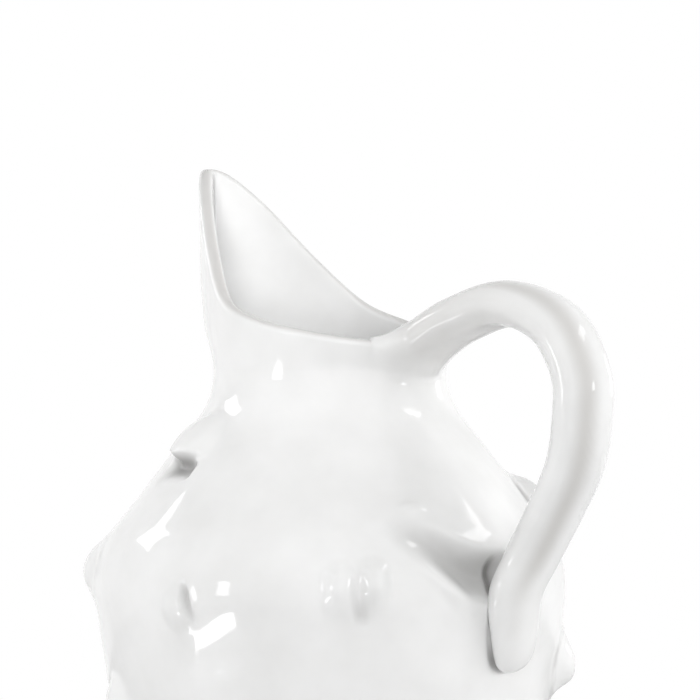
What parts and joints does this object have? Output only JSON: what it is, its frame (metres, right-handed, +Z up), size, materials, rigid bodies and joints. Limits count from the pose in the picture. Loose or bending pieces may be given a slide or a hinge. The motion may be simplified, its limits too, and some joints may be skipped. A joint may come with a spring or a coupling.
{
  "type": "pitcher",
  "caption": "White glazed hand-built pitcher with a round belly set with pinched clay thorns, a narrow neck, a tall pointed beak-like spout and a looped strap handle.",
  "frame": {"origin": "centre of the foot ring, on the surface that the pitcher stands on", "axes": "+Z up along the axis of the belly, +X towards the handle, -X towards the beak"},
  "size_m": [0.1887, 0.156, 0.2304],
  "materials": {
    "white_glaze": "glossy white tin glaze over pale earthenware"
  },
  "bodies": {
    "root": {"base": "white_glaze", "lower_wall": "white_glaze", "shoulder": "white_glaze", "neck_and_beak": "white_glaze", "handle": "white_glaze", "shoulder_thorn_1": "white_glaze", "shoulder_thorn_2": "white_glaze", "shoulder_thorn_3": "white_glaze", "shoulder_thorn_4": "white_glaze", "shoulder_thorn_5": "white_glaze", "belly_thorn_1": "white_glaze", "belly_thorn_2": "white_glaze", "belly_thorn_3": "white_glaze", "belly_thorn_4": "white_glaze", "belly_thorn_5": "white_glaze", "belly_thorn_6": "white_glaze", "lower_thorn_1": "white_glaze", "lower_thorn_2": "white_glaze", "lower_thorn_3": "white_glaze", "lower_thorn_4": "white_glaze", "lower_thorn_5": "white_glaze", "lower_thorn_6": "white_glaze", "lower_thorn_7": "white_glaze", "foot_thorn_1": "white_glaze", "foot_thorn_2": "white_glaze", "foot_thorn_3": "white_glaze", "foot_thorn_4": "white_glaze", "foot_thorn_5": "white_glaze", "foot_thorn_6": "white_glaze", "foot_thorn_7": "white_glaze"}
  },
  "joints": []
}
